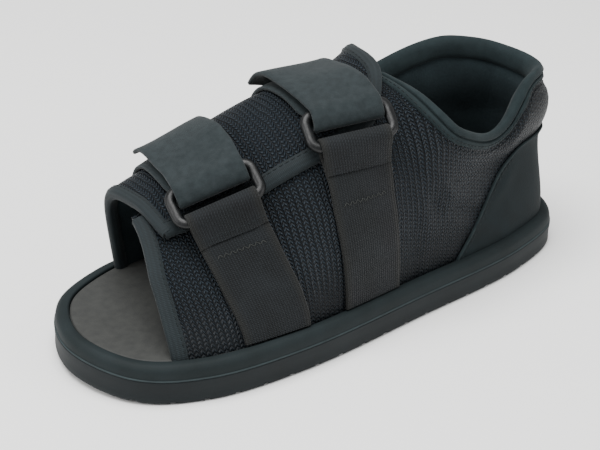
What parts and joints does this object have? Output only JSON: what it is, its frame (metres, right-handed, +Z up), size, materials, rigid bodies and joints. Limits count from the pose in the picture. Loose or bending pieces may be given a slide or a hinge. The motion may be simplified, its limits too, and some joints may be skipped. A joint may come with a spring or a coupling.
{
  "type": "post operative shoe",
  "caption": "Open-toe post-operative shoe with a flat rocker-free sole, wrap-over mesh upper, padded collar and straps folded back through loops",
  "frame": {"origin": "on the floor under the middle of the sole's length and width", "axes": "+X from heel to toe, +Y to the side with the rings, +Z up"},
  "size_m": [0.29, 0.115, 0.1215],
  "materials": {
    "outsole_rubber": "matte moulded rubber",
    "midsole_foam": "matte foam rim, faintly green black",
    "insole_lining": "smooth sock lining, low sheen",
    "upper_mesh": "coarse spacer mesh",
    "counter_suede": "brushed suede cloth",
    "binding_tape": "stretch binding tape",
    "strap_loop": "brushed loop pile",
    "webbing_twill": "woven twill webbing",
    "ring_plastic": "glossy moulded plastic"
  },
  "bodies": {
    "root": {"outsole": "outsole_rubber", "midsole": "midsole_foam", "insole": "insole_lining", "upper": "upper_mesh", "heel_counter": "counter_suede", "collar_binding": "binding_tape", "quarter_binding": "binding_tape", "flap_binding": "binding_tape", "strap_front": "strap_loop", "strap_rear": "strap_loop", "webbing_front": "webbing_twill", "webbing_rear": "webbing_twill", "ring_front": "ring_plastic", "ring_rear": "ring_plastic"}
  },
  "joints": []
}
